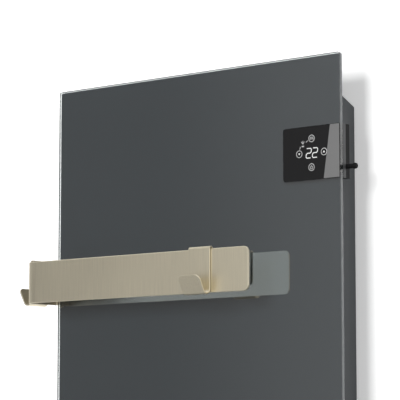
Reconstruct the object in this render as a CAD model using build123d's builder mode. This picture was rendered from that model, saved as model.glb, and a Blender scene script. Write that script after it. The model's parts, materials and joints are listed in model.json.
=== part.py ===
from build123d import *
import os
from math import cos, radians, sqrt, tan

os.makedirs("parts", exist_ok=True)

# Heated towel rail: a glass front panel with a steel casing behind it, a flat towel bar and two hooks.
# X runs to the right, Y runs into the wall and Z up. The origin is the centre of the wall bracket's four
# bolt holes, on the wall's face, and level with the middle of the glass.

# Glass panel
glass_width = 500.0
glass_height = 1000.0
glass_thickness = 6.0
glass_corner_radius = 4.0
glass_edge_bevel = 0.7
enamel_thickness = 0.4
enamel_inset = 1.7

# Casing behind the glass
wall_gap = 8.0
casing_depth = 53.6
casing_sheet = 1.2
casing_side_recess = 20.0
casing_edge_radius = 2.5
slope_recess_front = 41.1
slope_recess_back = 65.0
bottom_ledge_recess = 60.0
bottom_ledge_depth = 26.0
casing_flange = 14.0
bond_thickness = 2.0
bond_width = 12.0

# Air slots in the casing
slot_length = 26.0
low_slot_length = 18.2
slot_width = 4.0
slot_pitch = 26.0
slot_row_margin = 48.0
back_slot_drop = 100.0
top_slot_share = 0.55

# Heating stack glued to the glass
film_side_margin = 50.0
film_top_margin = 180.0
film_bottom_margin = 100.0
film_thickness = 0.8
film_corner = 6.0
spreader_margin = 5.0
spreader_thickness = 1.0
spreader_corner = 8.0
insulation_thickness = 20.0
insulation_margin = 8.0
pocket_radius = 20.0
cutout_x = 80.0
cutout_below_film_top = 80.0
cutout_radius = 8.0
cutout_height = 7.0
cutout_cap_height = 2.0
cutout_lug_length = 6.0
cutout_lug_width = 4.0
cutout_lug_thickness = 0.8
sensor_x = -110.0
sensor_below_tray_top = 25.0
sensor_radius = 2.5
sensor_length = 20.0
sensor_clip_sheet = 0.8

# Towel bar: one bent strip
bar_thickness = 3.0
bar_height = 58.5
bar_drop = 279.05
bar_reach = 42.3
bar_free_end = 134.0
bar_side_gap = 15.5
bar_corner_radius = 8.0
bar_edge_bevel = 0.7
bar_soft_angle = 16.0
bar_soft_radius = 48.5
bar_bend_radius = 4.5
bar_between_bends = 0.2
bar_flange_gap = 6.7
bar_tab_length = 31.0
bar_pad_thickness = 1.0
bar_plate_thickness = 4.0
bar_plate_height = 70.0
bar_plate_depth = 26.0
bar_screw_radius = 2.5
bar_screw_spread = 36.0
bar_screw_from_end = 14.0

# Towel hooks
hook_width = 37.0
hook_thickness = 2.0
hook_side_gap = 0.5
hook_seat_gap = 0.9
hook_below_bar = 2.6
hook_mouth = 11.0
hook_lean = 28.0
hook_tongue = 23.5
hook_tongue_corner = 8.0
hook_tail = 42.5
hook_tail_corner = 4.0
hook_edge_bevel = 0.4
right_hook_x = 52.5
left_hook_setback = 28.3

# Touch controller
fascia_width = 91.5
fascia_height = 70.8
fascia_drop = 94.2
fascia_thickness = 1.5
fascia_corner_radius = 4.0
control_width = 100.0
front_shell_depth = 5.7
rear_shell_depth = 8.2
shell_wall = 2.0
shell_back_wall = 1.2
shell_corner_radius = 2.0
shell_boss_radius = 3.2
shell_boss_inset = 4.0
board_thickness = 1.6
display_board_width = 80.0
display_board_height = 64.0
digit_window_width = 28.0
digit_window_height = 20.0
touch_spring_radius = 4.5
touch_spring_wall = 0.6
front_web = 1.0
web_window_width = 60.0
web_window_height = 50.0
control_screw_radius = 1.25
touch_pitch_x = 20.0
touch_pitch_z = 19.0

# Push button in the side of the controller
button_drop = 149.6
button_setback = 15.4
button_radius = 3.0
button_head_radius = 4.0
button_head_length = 4.6
button_reach = 15.6
button_travel = 2.0
button_play = 0.08
button_stem_radius = 1.6
clip_radius = 3.6
clip_thickness = 0.7
spring_wire = 0.5
spring_turns = 5
spring_mean_radius = 2.4
spring_length = 9.2
neck_shoulder = 0.8
switch_length = 9.0
switch_depth = 6.4
switch_height = 7.0

# Electronics at the bottom of the casing
tray_width = 230.0
tray_height = 140.0
tray_sheet = 1.2
tray_stand = 24.4
tray_foot = 10.0
tray_rise = 25.0
standoff_length = 6.0
standoff_radius = 3.0
power_board_width = 112.0
power_board_height = 96.0
power_board_x = 40.0
board_hole_inset = 5.0
relay_width = 19.0
relay_height = 24.0
relay_depth = 14.0
relay_x = 33.6
relay_z = 7.7
supply_width = 34.0
supply_height = 26.0
supply_depth = 13.0
supply_x = -13.4
supply_z = -17.3
header_width = 42.0
header_height = 8.0
header_depth = 9.0
terminal_width = 62.0
terminal_height = 22.0
terminal_depth = 18.0
terminal_poles = 5
terminal_x = -62.0
terminal_rise = 45.0
terminal_bevel = 2.0
screw_well_margin = 1.0
driver_slot_width = 0.8
driver_slot_depth = 1.0
earth_x = -101.0
earth_rise = 110.0
earth_stud_radius = 2.0
earth_stud_length = 12.0
earth_ring_thickness = 1.0
earth_ring_overlap = 0.6
film_tab_length = 12.0
film_tab_width = 6.0
film_tab_x = -120.0
film_tab_pitch = 14.0

# Wiring
lead_radius = 1.5
lead_bend = 7.0
close_bend = 5.6
lead_gap = 0.2
sensor_lead_radius = 1.2
sensor_lead_stub = 5.0
lead_height_over_tray = 13.0
terminal_approach = 25.0
cutout_lane_shift = 150.0
cutout_lane_pitch = 8.0
cutout_lane_start = 40.0
cutout_lane_drop = 50.0
cutout_lane_stagger = 10.0
earth_lead_rise = 24.0
earth_lead_shift_rise = 30.0
board_lead_rise = 22.0
board_lead_pitch = 8.0
cable_drop = 8.0
cable_hole_from_end = 12.0
cable_hole_drop = 18.0

# Service cover
cover_width = 210.0
cover_height = 140.0
cover_overlap = 9.0
cover_corner = 6.0
cover_screw_radius = 1.75
cover_screw_length = 6.0

# Cable gland in the bottom ledge
gland_x = -65.0
gland_bore_radius = 3.75
gland_thread_radius = 7.8
gland_flats = 18.0
gland_flange_thickness = 4.0
gland_dome_radius = 8.8
gland_dome_length = 16.0
gland_lip_rounding = 3.5
gland_inside_length = 9.0
gland_nut_flats = 20.0
gland_nut_thickness = 4.0
thread_clearance = 0.2

# Wall bracket
bolt_side_margin = 100.0
bolt_end_margin = 150.0
bolt_hole_radius = 3.5
bracket_sheet = 2.0
bracket_strip = 40.0
bracket_corner = 6.0
bracket_window_corner = 8.0
wall_hook_x = 80.0
wall_hook_width = 30.0
wall_hook_lip = 10.0
wall_hook_slack = 0.2
wall_hook_side_play = 1.0
wall_hook_slot_height = 14.0
pad_radius = 10.0
pad_from_bolt = 100.0
lock_x = 100.0
lock_tab_width = 36.0
lock_tab_depth = 30.0
lock_gap = 0.3
lock_screw_radius = 2.5
lock_screw_setback = 17.0
lock_nut_flats = 8.0
lock_nut_thickness = 4.0

# Clearances and screw heads
screw_clearance = 0.2
thread_play = 0.05
fit_clearance = 0.1
head_ratio = 1.9
head_height_ratio = 1.1
screw_end_gap = 0.5
screw_run_through = 2.0

# Planes that the layers stack up to, from the wall towards the room
casing_back_y = -wall_gap
casing_front_y = casing_back_y - casing_depth
enamel_rear_y = casing_front_y - bond_thickness
glass_rear_y = enamel_rear_y - enamel_thickness
glass_front_y = glass_rear_y - glass_thickness
fascia_front_y = glass_front_y - fascia_thickness
casing_inner_back_y = casing_back_y - casing_sheet
film_rear_y = enamel_rear_y + film_thickness
spreader_rear_y = film_rear_y + spreader_thickness
insulation_rear_y = spreader_rear_y + insulation_thickness

# Edges of the glass and the casing
glass_right = glass_width / 2
glass_top = glass_height / 2
glass_bottom = -glass_height / 2
casing_right = glass_right - casing_side_recess
slot_count = round((2 * casing_right - 2 * slot_row_margin) / slot_pitch) + 1
casing_inner_right = casing_right - casing_sheet
casing_top_front = glass_top - slope_recess_front
casing_top_back = glass_top - slope_recess_back
casing_bottom_front = glass_bottom + slope_recess_front
ledge_z = glass_bottom + bottom_ledge_recess
ledge_front_y = casing_back_y - bottom_ledge_depth
ledge_inner_z = ledge_z + casing_sheet

# Heating stack
film_width = glass_width - 2 * film_side_margin
film_height = glass_height - film_top_margin - film_bottom_margin
film_top = glass_top - film_top_margin
film_bottom = film_top - film_height
film_z = (film_top + film_bottom) / 2
cutout_z = film_top - cutout_below_film_top

# Towel bar's strip, on its centre line
bar_centre_z = glass_top - bar_drop
bar_top = bar_centre_z + bar_height / 2
bar_bottom = bar_centre_z - bar_height / 2
bar_rear_y = glass_front_y - bar_reach
bar_front_y = bar_rear_y - bar_thickness
bar_line_y = bar_rear_y - bar_thickness / 2
leg_inner_x = -glass_right - bar_side_gap
leg_line_x = leg_inner_x - bar_thickness / 2
flange_line_y = glass_rear_y + bar_flange_gap + bar_thickness / 2
tab_line_x = -casing_right - bar_pad_thickness - bar_thickness / 2
tab_end_y = flange_line_y + bar_tab_length
bar_screw_y = tab_end_y - bar_screw_from_end

# Controller's housing and button
control_top = glass_top - fascia_drop
control_centre_z = control_top - fascia_height / 2
control_x = glass_right - control_width / 2
fascia_x = glass_right - fascia_width / 2
shell_joint_y = enamel_rear_y + front_shell_depth
shell_back_y = shell_joint_y + rear_shell_depth
display_board_y = shell_joint_y - board_thickness
button_y = glass_front_y + button_setback
button_z = glass_top - button_drop
button_tip_x = glass_right + button_reach
shell_inner_right = glass_right - shell_wall
clip_right_x = shell_inner_right - button_play
clip_left_x = clip_right_x - clip_thickness
neck_end_x = clip_left_x - neck_shoulder
switch_right_x = neck_end_x - spring_length

# Electronics tray
tray_bottom = ledge_z + tray_rise
tray_centre_z = tray_bottom + tray_height / 2
sensor_z = tray_bottom + tray_height - sensor_below_tray_top
tray_rear_y = casing_inner_back_y - tray_stand
tray_front_y = tray_rear_y - tray_sheet
power_board_front_y = tray_rear_y + standoff_length
power_board_rear_y = power_board_front_y + board_thickness
cover_rear_y = casing_back_y + casing_sheet

# Wall bracket
bracket_front_y = -bracket_sheet
bolt_spacing_x = glass_width - 2 * bolt_side_margin
bolt_spacing_z = glass_height - 2 * bolt_end_margin
pad_spread_z = bolt_spacing_z - 2 * pad_from_bolt
bracket_top = bolt_spacing_z / 2 + bracket_strip / 2
bracket_half = bolt_spacing_x / 2 + bracket_strip / 2
lock_tab_top = ledge_z - lock_gap
lock_y = -lock_screw_setback
gland_y = (ledge_front_y + casing_back_y) / 2


def panel(near_y, far_y, width, height, x=0.0, z=0.0, corner=0.0, mode=Mode.ADD):
    # a flat block that faces the room, between two depths
    with BuildSketch(Plane.XZ.offset(-near_y)) as face:
        with Locations((x, z)):
            if corner > 0:
                RectangleRounded(width, height, corner)
            else:
                Rectangle(width, height)
    extrude(face.sketch, amount=near_y - far_y, mode=mode)


def block(low, high, mode=Mode.ADD):
    # a square block between its lowest and highest corners
    middle = [(a + b) / 2 for a, b in zip(low, high)]
    sides = [b - a for a, b in zip(low, high)]
    with Locations(tuple(middle)):
        Box(*sides, mode=mode)


def rod(start, direction, radius, length, mode=Mode.ADD):
    # a round bar or hole from a start point along a direction
    with BuildSketch(Plane(origin=start, z_dir=direction)) as disc:
        Circle(radius)
    extrude(disc.sketch, amount=length, mode=mode)


def hexagon(start, direction, flats, length, mode=Mode.ADD):
    # a six-sided prism, its size across the flats
    with BuildSketch(Plane(origin=start, z_dir=direction)) as outline:
        RegularPolygon(flats / 2, 6, major_radius=False)
    extrude(outline.sketch, amount=length, mode=mode)


def screw(start, direction, radius, length, drive=True):
    # a pan-head screw: start is under the head, and the shank runs along direction
    head_radius = radius * head_ratio
    head_height = radius * head_height_ratio
    axis = Vector(direction).normalized()
    with BuildPart() as body:
        rod(start, direction, radius, length)
        rod(start, -axis, head_radius, head_height)
        top = Vector(start) - axis * head_height
        crown = body.edges().filter_by(GeomType.CIRCLE).group_by(SortBy.RADIUS)[-1]
        crown = crown.sort_by(lambda edge: (edge.center() - top).length)[0]
        fillet(crown, head_height * 0.45)
        if drive:
            hexagon(top, axis, radius * 1.4, head_height * 0.6, mode=Mode.SUBTRACT)
    return body.part


def lead(points, radius, bends):
    # an insulated wire along straight runs joined by arcs
    with BuildPart() as wire:
        with BuildLine() as route:
            FilletPolyline(*points, radius=bends)
        with BuildSketch(Plane(origin=route.line @ 0, z_dir=route.line % 0)):
            Circle(radius)
        sweep()
    return wire.part


def corners(half_width, half_height):
    return [(side * half_width, level * half_height) for side in (-1, 1) for level in (-1, 1)]


def export(builder, name):
    builder.part.label = name
    export_step(builder.part, "parts/" + name + ".step")


# Clear tempered glass with a ground and polished edge
with BuildPart() as glass_panel:
    panel(glass_front_y, glass_rear_y, glass_width, glass_height, corner=glass_corner_radius)
    rims = glass_panel.faces().filter_by(Axis.Y).edges()
    chamfer(rims, glass_edge_bevel)
export(glass_panel, "glass_panel")

# Dark enamel fired on the glass's rear, with a window for the digits
digit_x = fascia_x
with BuildPart() as rear_enamel:
    panel(
        glass_rear_y,
        enamel_rear_y,
        glass_width - 2 * enamel_inset,
        glass_height - 2 * enamel_inset,
        corner=glass_corner_radius - enamel_inset / 2,
    )
    panel(
        glass_rear_y,
        enamel_rear_y,
        digit_window_width,
        digit_window_height,
        x=digit_x,
        z=control_centre_z,
        mode=Mode.SUBTRACT,
    )
export(rear_enamel, "rear_enamel")

# Heating film, heat spreader and insulation, glued one on the other
with BuildPart() as heating_film:
    panel(enamel_rear_y, film_rear_y, film_width, film_height, z=film_z, corner=film_corner)
export(heating_film, "heating_film")

spreader_width = film_width + 2 * spreader_margin
spreader_height = film_height + 2 * spreader_margin
with BuildPart() as heat_spreader:
    panel(
        film_rear_y,
        spreader_rear_y,
        spreader_width,
        spreader_height,
        z=film_z,
        corner=spreader_corner,
    )
export(heat_spreader, "heat_spreader")

with BuildPart() as insulation_board:
    panel(
        spreader_rear_y,
        insulation_rear_y,
        spreader_width - 2 * insulation_margin,
        spreader_height - 2 * insulation_margin,
        z=film_z,
    )
    for pocket_x, pocket_z in ((cutout_x, cutout_z), (sensor_x, sensor_z)):
        start = (pocket_x, spreader_rear_y, pocket_z)
        rod(start, (0, 1, 0), pocket_radius, insulation_thickness, Mode.SUBTRACT)
export(insulation_board, "insulation_board")

with BuildPart() as thermal_cutout:
    rod((cutout_x, spreader_rear_y, cutout_z), (0, 1, 0), cutout_radius, cutout_height)
    cap_y = spreader_rear_y + cutout_height
    cap_rear_y = cap_y + cutout_cap_height
    panel(cap_y, cap_rear_y, cutout_radius * 1.2, cutout_radius * 0.6, x=cutout_x, z=cutout_z)
    for side in (-1, 1):
        lug_x = cutout_x + side * cutout_radius / 2
        lug_rear_y = cap_rear_y + cutout_lug_length
        panel(cap_rear_y, lug_rear_y, cutout_lug_thickness, cutout_lug_width, x=lug_x, z=cutout_z)
export(thermal_cutout, "thermal_cutout")

with BuildPart() as temperature_sensor:
    sensor_axis_y = spreader_rear_y + sensor_radius
    sensor_start = (sensor_x, sensor_axis_y, sensor_z - sensor_length / 2)
    rod(sensor_start, (0, 0, 1), sensor_radius, sensor_length)
export(temperature_sensor, "temperature_sensor")

with BuildPart() as sensor_clip:
    outer = sensor_radius + sensor_clip_sheet
    clip_low = sensor_z - sensor_length / 4
    rod((sensor_x, sensor_axis_y, clip_low), (0, 0, 1), outer, sensor_length / 2)
    panel(
        spreader_rear_y,
        spreader_rear_y + sensor_clip_sheet,
        6 * sensor_radius,
        sensor_length / 2,
        x=sensor_x,
        z=sensor_z,
    )
    rod((sensor_x, sensor_axis_y, clip_low), (0, 0, 1), sensor_radius, sensor_length / 2, Mode.SUBTRACT)
    # nothing of the clip reaches into the spreader or the sensor
    for near_y, far_y, width in (
        (spreader_rear_y - outer, spreader_rear_y, 4 * outer),
        (spreader_rear_y, sensor_axis_y, 2 * sensor_radius),
    ):
        panel(near_y, far_y, width, sensor_length, x=sensor_x, z=sensor_z, mode=Mode.SUBTRACT)
export(sensor_clip, "sensor_clip")

# Adhesive frame between the coated glass and the casing's flange, open where the controller stands
control_notch_height = fascia_height + 2 * fit_clearance
with BuildPart() as adhesive_frame:
    frame_outer_width = 2 * casing_right
    frame_outer_top = casing_top_front
    frame_outer_bottom = casing_bottom_front
    frame_height = frame_outer_top - frame_outer_bottom
    panel(enamel_rear_y, casing_front_y, frame_outer_width, frame_height)
    panel(
        enamel_rear_y,
        casing_front_y,
        frame_outer_width - 2 * bond_width,
        frame_height - 2 * bond_width,
        mode=Mode.SUBTRACT,
    )
    panel(
        enamel_rear_y,
        casing_front_y,
        control_width + 2 * fit_clearance,
        control_notch_height,
        x=control_x,
        z=control_centre_z,
        mode=Mode.SUBTRACT,
    )
export(adhesive_frame, "adhesive_frame")


def casing_outline(inset):
    # side view of the casing: sloped top, flat ledge and slope at the bottom, drawn on the YZ plane
    slope_run = casing_depth
    top_tilt = (casing_top_front - casing_top_back) / slope_run
    bottom_tilt = (ledge_z - casing_bottom_front) / (slope_run - bottom_ledge_depth)
    top_shift = inset * sqrt(1 + top_tilt**2)
    bottom_shift = inset * sqrt(1 + bottom_tilt**2)
    back = casing_back_y - inset
    front = casing_front_y
    ledge_corner = ledge_front_y + (bottom_shift - inset) / bottom_tilt
    return [
        (front, casing_top_front - top_shift),
        (back, casing_top_back - top_shift + inset * top_tilt),
        (back, ledge_z + inset),
        (ledge_corner, ledge_z + inset),
        (front, casing_bottom_front + bottom_shift),
    ]


def casing_block(inset, radius):
    with BuildPart() as block:
        with BuildSketch(Plane.YZ.offset(-(casing_right - inset))):
            with BuildLine():
                Polyline(*casing_outline(inset), close=True)
            make_face()
        extrude(amount=2 * (casing_right - inset))
        uprights = block.edges().filter_by(Axis.Z).group_by(Axis.Y)[-1]
        fillet(uprights, radius)
    return block.part


casing_solid = casing_block(0.0, casing_edge_radius)
casing_cavity = casing_block(casing_sheet, casing_edge_radius - casing_sheet)
wall_hook_rows = (bracket_top, bracket_strip / 2)
service_x = 0.0
service_z = tray_centre_z
service_width = cover_width - 2 * cover_overlap
service_height = cover_height - 2 * cover_overlap
cover_screw_x = cover_width / 2 - cover_overlap / 2
cover_screw_z = cover_height / 2 - cover_overlap / 2

# Flange of the casing, which the glass is bonded to
flange_top = casing_top_front - casing_flange
flange_bottom = casing_bottom_front + casing_flange
with BuildPart() as casing_rim:
    add(casing_solid)
    flange_rear_y = casing_front_y + casing_sheet
    panel(flange_rear_y, casing_back_y, glass_width, glass_height, mode=Mode.SUBTRACT)
    panel(
        casing_front_y,
        flange_rear_y,
        2 * (casing_right - casing_flange),
        flange_top - flange_bottom,
        z=(flange_top + flange_bottom) / 2,
        mode=Mode.SUBTRACT,
    )

# Sheet steel casing: folded pan with its flange towards the glass, air slots, and holes for what it carries
with BuildPart() as rear_casing:
    add(casing_solid)
    add(casing_cavity, mode=Mode.SUBTRACT)
    add(casing_rim.part)
    # notch for the controller in the flange and the side wall
    panel(
        casing_front_y,
        shell_back_y + fit_clearance,
        control_width + 2 * fit_clearance,
        control_notch_height,
        x=control_x,
        z=control_centre_z,
        mode=Mode.SUBTRACT,
    )
    # air slots in both slopes and in the back
    slope_middle_y = casing_front_y + casing_depth * top_slot_share
    low_slope_y = (casing_front_y + ledge_front_y) / 2
    with BuildSketch(Plane.XY) as upright_slots:
        with Locations((0, slope_middle_y)):
            with GridLocations(slot_pitch, 0, slot_count, 1):
                SlotOverall(slot_length, slot_width, rotation=90)
    extrude(upright_slots.sketch, amount=glass_top, mode=Mode.SUBTRACT)
    with BuildSketch(Plane.XY) as low_slots:
        with Locations((0, low_slope_y)):
            with GridLocations(slot_pitch, 0, slot_count, 1):
                SlotOverall(low_slot_length, slot_width, rotation=90)
    extrude(low_slots.sketch, amount=glass_bottom, mode=Mode.SUBTRACT)
    with BuildSketch(Plane.XZ.offset(-casing_back_y)) as back_slots:
        with Locations((0, glass_top - back_slot_drop)):
            with GridLocations(slot_pitch, 0, slot_count, 1):
                SlotOverall(slot_length, slot_width, rotation=90)
    extrude(back_slots.sketch, amount=casing_sheet, mode=Mode.SUBTRACT)
    # slots that hang on the wall bracket's hooks
    for row_z in wall_hook_rows:
        for side in (-1, 1):
            panel(
                casing_inner_back_y,
                casing_back_y,
                wall_hook_width + 2 * wall_hook_side_play,
                wall_hook_slot_height,
                x=side * wall_hook_x,
                z=row_z - wall_hook_slot_height / 2,
                mode=Mode.SUBTRACT,
            )
    # opening behind the electronics and its screw holes
    panel(
        casing_inner_back_y,
        casing_back_y,
        service_width,
        service_height,
        x=service_x,
        z=service_z,
        corner=cover_corner,
        mode=Mode.SUBTRACT,
    )
    for x, z in corners(cover_screw_x, cover_screw_z):
        start = (service_x + x, casing_inner_back_y, service_z + z)
        rod(start, (0, 1, 0), cover_screw_radius, casing_sheet, Mode.SUBTRACT)
    # holes for the towel bar's screws in the left side
    for level in (-1, 1):
        rod(
            (-casing_right, bar_screw_y, bar_centre_z + level * bar_screw_spread / 2),
            (1, 0, 0),
            bar_screw_radius + screw_clearance,
            casing_sheet,
            Mode.SUBTRACT,
        )
    # holes in the bottom ledge for the cable gland and the lock screws
    gland_hole_radius = gland_thread_radius + thread_clearance
    rod((gland_x, gland_y, ledge_z), (0, 0, 1), gland_hole_radius, casing_sheet, Mode.SUBTRACT)
    lock_hole_radius = lock_screw_radius + screw_clearance
    for side in (-1, 1):
        rod((side * lock_x, lock_y, ledge_z), (0, 0, 1), lock_hole_radius, casing_sheet, Mode.SUBTRACT)
export(rear_casing, "rear_casing")

# Towel bar: bent flat strip, square to the glass, with rounded free corners
soft_tangent = bar_soft_radius * tan(radians(bar_soft_angle / 2))
hard_tangent = bar_bend_radius * tan(radians((90 - bar_soft_angle) / 2))
soft_run = (soft_tangent + hard_tangent + bar_between_bends) * cos(radians(bar_soft_angle))
soft_corner_x = leg_line_x + soft_run
hard_corner_y = bar_line_y + soft_run * tan(radians(bar_soft_angle))
bar_route = [
    (bar_free_end, bar_line_y),
    (soft_corner_x, bar_line_y),
    (leg_line_x, hard_corner_y),
    (leg_line_x, flange_line_y),
    (tab_line_x, flange_line_y),
    (tab_line_x, tab_end_y),
]
bar_bends = [bar_soft_radius, bar_bend_radius, bar_bend_radius, bar_bend_radius]

with BuildPart() as towel_bar:
    with BuildSketch(Plane.XY.offset(bar_bottom)):
        with BuildLine():
            FilletPolyline(*bar_route, radius=bar_bends)
        trace(line_width=bar_thickness)
    extrude(amount=bar_height)
    free_corners = towel_bar.edges().filter_by(Axis.Y).group_by(Axis.X)[-1]
    fillet(free_corners, bar_corner_radius)
    tab_corners = towel_bar.edges().filter_by(Axis.X).group_by(Axis.Y)[-1]
    fillet(tab_corners, bar_corner_radius / 2)
    front_rim = towel_bar.faces().filter_by(Axis.Y).sort_by(Axis.Y)[0].edges()
    chamfer(front_rim.sort_by(Axis.X)[1:], bar_edge_bevel)
    for level in (-1, 1):
        rod(
            (tab_line_x - bar_thickness, bar_screw_y, bar_centre_z + level * bar_screw_spread / 2),
            (1, 0, 0),
            bar_screw_radius + screw_clearance,
            2 * bar_thickness,
            Mode.SUBTRACT,
        )
export(towel_bar, "towel_bar")

# Isolating pad under the bar's fixing tab, the threaded plate inside the casing, and the two screws
tab_start_y = flange_line_y + bar_bend_radius
bar_screw_levels = [bar_centre_z + level * bar_screw_spread / 2 for level in (-1, 1)]
with BuildPart() as bar_pad:
    block(
        (-casing_right - bar_pad_thickness, tab_start_y, bar_bottom),
        (-casing_right, tab_end_y, bar_top),
    )
    for screw_z in bar_screw_levels:
        start = (-casing_right - bar_pad_thickness, bar_screw_y, screw_z)
        rod(start, (1, 0, 0), bar_screw_radius + screw_clearance, bar_pad_thickness, Mode.SUBTRACT)
export(bar_pad, "bar_pad")

with BuildPart() as bar_backing_plate:
    block(
        (-casing_inner_right, bar_screw_y - bar_plate_depth / 2, bar_centre_z - bar_plate_height / 2),
        (
            -casing_inner_right + bar_plate_thickness,
            bar_screw_y + bar_plate_depth / 2,
            bar_centre_z + bar_plate_height / 2,
        ),
    )
    for screw_z in bar_screw_levels:
        start = (-casing_inner_right, bar_screw_y, screw_z)
        rod(start, (1, 0, 0), bar_screw_radius + thread_play, bar_plate_thickness, Mode.SUBTRACT)
export(bar_backing_plate, "bar_backing_plate")

with BuildPart() as bar_screws:
    head_x = tab_line_x - bar_thickness / 2
    grip = bar_thickness + bar_pad_thickness + casing_sheet + bar_plate_thickness
    for screw_z in bar_screw_levels:
        start = (head_x, bar_screw_y, screw_z)
        add(screw(start, (1, 0, 0), bar_screw_radius, grip + screw_run_through))
export(bar_screws, "bar_screws")

# Towel hook: a strip closed over a bar's top edge, with a U at the bottom and a leaning tongue
with BuildPart() as hook_strip:
    leg_offset = bar_thickness / 2 + hook_side_gap + hook_thickness / 2
    inner_radius = leg_offset - hook_thickness / 2
    arch_z = bar_top + hook_seat_gap - sqrt(inner_radius**2 - (bar_thickness / 2) ** 2)
    mouth_radius = (hook_mouth + hook_thickness) / 2
    mouth_z = bar_bottom - hook_below_bar + hook_thickness / 2 + mouth_radius
    tail_z = bar_top - hook_tail
    with BuildLine(Plane.YZ):
        Line((leg_offset, tail_z), (leg_offset, arch_z))
        CenterArc((0, arch_z), leg_offset, 0, 180)
        Line((-leg_offset, arch_z), (-leg_offset, mouth_z))
        bend = CenterArc((-leg_offset - mouth_radius, mouth_z), mouth_radius, 0, -(180 - hook_lean))
        Line(bend @ 1, (bend @ 1) + (bend % 1) * hook_tongue)
    tail_plane = Plane(origin=(0, leg_offset, tail_z), x_dir=(1, 0, 0), z_dir=(0, 0, 1))
    with BuildSketch(tail_plane):
        Rectangle(hook_width, hook_thickness)
    sweep()
    ends = hook_strip.faces().sort_by(lambda face: face.area)[:2].sort_by(Axis.Y)
    tongue_corners = ends[0].edges().sort_by(SortBy.LENGTH)[:2]
    tail_corners = ends[1].edges().sort_by(SortBy.LENGTH)[:2]
    fillet(tongue_corners, hook_tongue_corner)
    fillet(tail_corners, hook_tail_corner)
    sides = hook_strip.faces().filter_by(Axis.X)
    chamfer(sides.edges().filter_by(lambda edge: edge.length > 2 * hook_thickness), hook_edge_bevel)

with BuildPart() as right_towel_hook:
    with Locations((right_hook_x, bar_line_y, 0)):
        add(hook_strip.part)
export(right_towel_hook, "right_towel_hook")

left_hook_y = bar_front_y + left_hook_setback
with BuildPart() as left_towel_hook:
    with Locations(Location((leg_line_x, left_hook_y, 0), (0, 0, -90))):
        add(hook_strip.part)
export(left_towel_hook, "left_towel_hook")

# Controller: glossy fascia on the glass, and a two-shell housing behind the glass's right edge
with BuildPart() as control_fascia:
    panel(fascia_front_y, glass_front_y, fascia_width, fascia_height, x=fascia_x, z=control_centre_z)
    left_corners = control_fascia.edges().filter_by(Axis.Y).group_by(Axis.X)[0]
    fillet(left_corners, fascia_corner_radius)
export(control_fascia, "control_fascia")

board_half_width = display_board_width / 2 - shell_boss_inset
board_half_height = display_board_height / 2 - shell_boss_inset
boss_offsets = corners(board_half_width, board_half_height)
boss_places = [(fascia_x + x, control_centre_z + z) for x, z in boss_offsets]

with BuildPart() as controller_front_shell:
    panel(enamel_rear_y, shell_joint_y, control_width, fascia_height, x=control_x, z=control_centre_z)
    uprights = controller_front_shell.edges().filter_by(Axis.Y)
    fillet(uprights.group_by(Axis.X)[0], shell_corner_radius)
    panel(
        enamel_rear_y + front_web,
        shell_joint_y,
        control_width - 2 * shell_wall,
        fascia_height - 2 * shell_wall,
        x=control_x,
        z=control_centre_z,
        mode=Mode.SUBTRACT,
    )
    panel(
        enamel_rear_y,
        enamel_rear_y + front_web,
        web_window_width,
        web_window_height,
        x=fascia_x,
        z=control_centre_z,
        mode=Mode.SUBTRACT,
    )
    for x, z in boss_places:
        boss_length = display_board_y - enamel_rear_y
        rod((x, enamel_rear_y, z), (0, 1, 0), shell_boss_radius, boss_length)
        hole = control_screw_radius + thread_play
        rod((x, enamel_rear_y + front_web, z), (0, 1, 0), hole, boss_length, Mode.SUBTRACT)
export(controller_front_shell, "controller_front_shell")

cable_hole_x = glass_right - control_width + cable_hole_from_end
cable_hole_z = control_centre_z - cable_hole_drop
with BuildPart() as controller_rear_shell:
    panel(shell_joint_y, shell_back_y, control_width, fascia_height, x=control_x, z=control_centre_z)
    uprights = controller_rear_shell.edges().filter_by(Axis.Y)
    fillet(uprights.group_by(Axis.X)[0], shell_corner_radius)
    panel(
        shell_joint_y,
        shell_back_y - shell_back_wall,
        control_width - 2 * shell_wall,
        fascia_height - 2 * shell_wall,
        x=control_x,
        z=control_centre_z,
        mode=Mode.SUBTRACT,
    )
    for x, z in boss_places:
        rod((x, shell_joint_y, z), (0, 1, 0), shell_boss_radius, rear_shell_depth)
        hole = control_screw_radius + screw_clearance
        rod((x, shell_joint_y, z), (0, 1, 0), hole, rear_shell_depth, Mode.SUBTRACT)
    button_hole_start = (shell_inner_right, button_y, button_z)
    rod(button_hole_start, (1, 0, 0), button_radius + thread_play, shell_wall, Mode.SUBTRACT)
    cable_hole_start = (cable_hole_x, shell_back_y - shell_back_wall, cable_hole_z)
    rod(cable_hole_start, (0, 1, 0), lead_radius + screw_clearance, shell_back_wall, Mode.SUBTRACT)
export(controller_rear_shell, "controller_rear_shell")

with BuildPart() as controller_screws:
    control_shank = rear_shell_depth + board_thickness + boss_length - front_web - screw_end_gap
    for x, z in boss_places:
        add(screw((x, shell_back_y, z), (0, -1, 0), control_screw_radius, control_shank))
export(controller_screws, "controller_screws")

with BuildPart() as display_board:
    panel(
        display_board_y,
        shell_joint_y,
        display_board_width,
        display_board_height,
        x=fascia_x,
        z=control_centre_z,
    )
    for x, z in boss_places:
        hole = control_screw_radius + screw_clearance
        rod((x, display_board_y, z), (0, 1, 0), hole, board_thickness, Mode.SUBTRACT)
export(display_board, "display_board")

with BuildPart() as digit_module:
    panel(
        glass_rear_y,
        display_board_y,
        digit_window_width - 2 * fit_clearance,
        digit_window_height - 2 * fit_clearance,
        x=fascia_x,
        z=control_centre_z,
    )
export(digit_module, "digit_module")

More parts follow.
